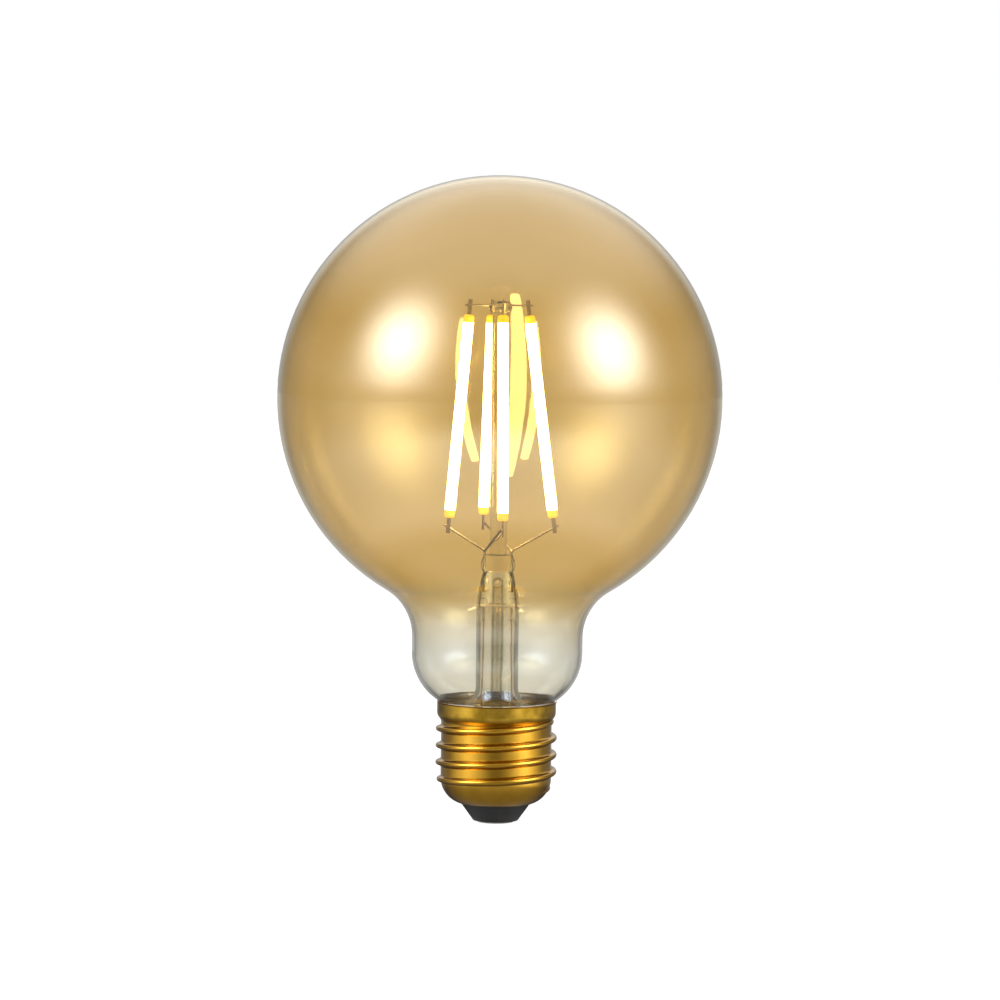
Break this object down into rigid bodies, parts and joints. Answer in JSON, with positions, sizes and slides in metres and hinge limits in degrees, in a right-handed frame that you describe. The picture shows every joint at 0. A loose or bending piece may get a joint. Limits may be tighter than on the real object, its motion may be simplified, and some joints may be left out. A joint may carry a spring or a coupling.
{
  "type": "globe bulb",
  "caption": "Clear amber globe bulb with upright glowing strips on a glass stem and a brass screw cap.",
  "frame": {"origin": "middle of the flat underside of the centre contact, on the bulb's axis", "axes": "+Z from the centre contact to the top of the globe, -Y to the front as in the picture, +X to the right"},
  "size_m": [0.095, 0.095, 0.1384],
  "materials": {
    "amber_glass": "clear, amber on the globe and fading to clear at the neck",
    "clear_glass": "clear",
    "nickel_wire": "drawn wire",
    "copper_wire": "drawn wire",
    "brass": "polished on the thread, fine brushed on the collar",
    "black_insulator": "satin",
    "tinned_contact": "tinned",
    "solder": "satin",
    "cement": "matte",
    "circuit_board": "satin",
    "capacitor_can": "sleeved",
    "black_plastic": "matte",
    "coil_sleeve": "matte",
    "resistor_body": "satin",
    "phosphor_coat": "glowing silicone with phosphor",
    "ceramic_carrier": "matte",
    "light_chip": "bright",
    "strip_tab": "pressed sheet"
  },
  "bodies": {
    "root": {"glass_globe": "amber_glass", "stem_tube": "clear_glass", "glass_rod": "clear_glass", "exhaust_tube": "clear_glass", "top_wire_left_right": "nickel_wire", "top_wire_front_back": "nickel_wire", "left_inner_lead": "nickel_wire", "right_inner_lead": "nickel_wire", "front_branch_wire": "nickel_wire", "back_branch_wire": "nickel_wire", "left_outer_lead": "copper_wire", "right_outer_lead": "copper_wire", "shell_wire": "copper_wire", "contact_wire": "copper_wire", "screw_shell": "brass", "insulator": "black_insulator", "centre_contact": "tinned_contact", "side_solder": "solder", "capping_cement": "cement", "driver_board": "circuit_board", "smoothing_capacitor": "capacitor_can", "bridge_rectifier": "black_plastic", "driver_chip": "black_plastic", "choke_coil": "coil_sleeve", "fuse_resistor": "resistor_body", "left_strip_coat": "phosphor_coat", "left_strip_carrier": "ceramic_carrier", "left_strip_chips": "light_chip", "left_strip_foot_tab": "strip_tab", "left_strip_head_tab": "strip_tab", "back_strip_coat": "phosphor_coat", "back_strip_carrier": "ceramic_carrier", "back_strip_chips": "light_chip", "back_strip_foot_tab": "strip_tab", "back_strip_head_tab": "strip_tab", "front_strip_coat": "phosphor_coat", "front_strip_carrier": "ceramic_carrier", "front_strip_chips": "light_chip", "front_strip_foot_tab": "strip_tab", "front_strip_head_tab": "strip_tab", "right_strip_coat": "phosphor_coat", "right_strip_carrier": "ceramic_carrier", "right_strip_chips": "light_chip", "right_strip_foot_tab": "strip_tab", "right_strip_head_tab": "strip_tab"}
  },
  "joints": []
}
